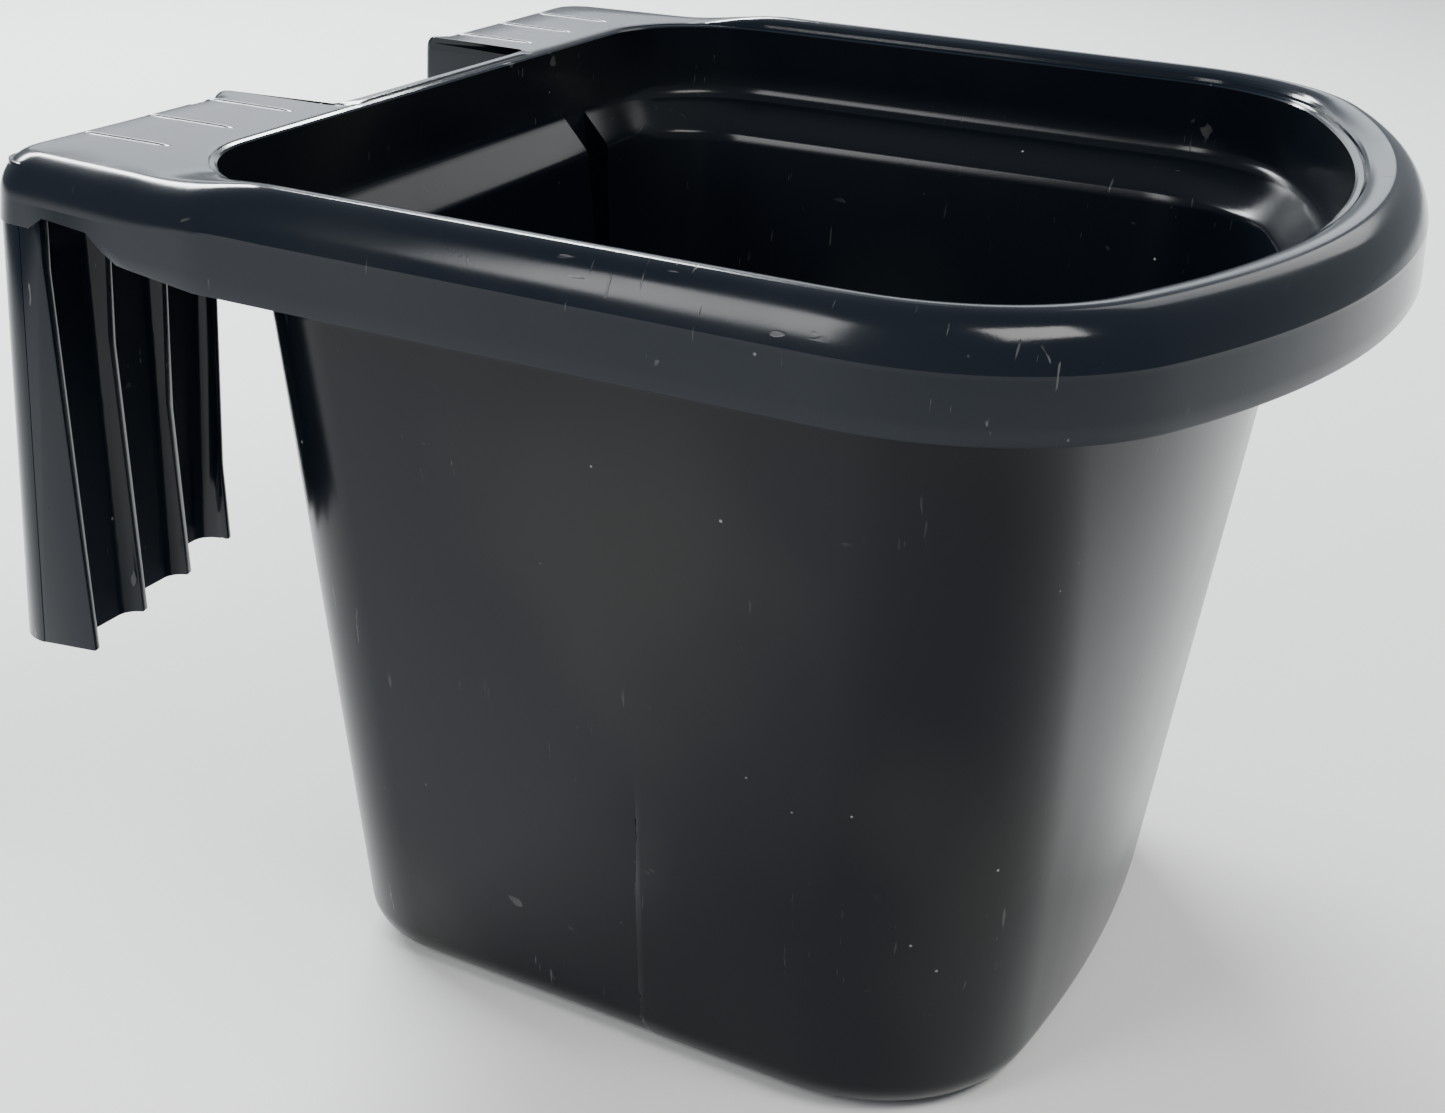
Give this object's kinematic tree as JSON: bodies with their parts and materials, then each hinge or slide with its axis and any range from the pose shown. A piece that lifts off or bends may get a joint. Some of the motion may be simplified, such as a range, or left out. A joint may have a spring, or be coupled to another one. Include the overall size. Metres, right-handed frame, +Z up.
{
  "type": "feed bucket",
  "caption": "Hook-over fence feed bucket for horses: glossy black one-piece moulded tub with a rolled rim, an inner shoulder and two fluted drop-plate hooks.",
  "frame": {"origin": "middle of the flat base, level with the ground, on the plane of symmetry", "axes": "+Z up; the straight back and the two hooks face +Y, the bowed front faces -Y, and X = 0 is the plane of symmetry"},
  "size_m": [0.4166, 0.4045, 0.3004],
  "materials": {
    "black_plastic": "gloss injection-moulded polyethylene, with fine scuffs on the rim",
    "black_plastic_tub": "semi-gloss injection-moulded polyethylene, with dust specks and hair scratches"
  },
  "bodies": {
    "root": {"tub_floor": "black_plastic_tub", "tub_wall": "black_plastic_tub", "shoulder": "black_plastic_tub", "collar": "black_plastic_tub", "rim_roll": "black_plastic", "rim_skirt": "black_plastic", "back_rim": "black_plastic", "stiffener_left": "black_plastic_tub", "stiffener_right": "black_plastic_tub", "arm_left": "black_plastic", "arm_right": "black_plastic", "arm_skirt_left": "black_plastic", "arm_skirt_right": "black_plastic", "drop_plate_left": "black_plastic", "drop_plate_right": "black_plastic", "outer_flange_left": "black_plastic", "outer_flange_right": "black_plastic", "inner_flange_left": "black_plastic", "inner_flange_right": "black_plastic"}
  },
  "joints": []
}
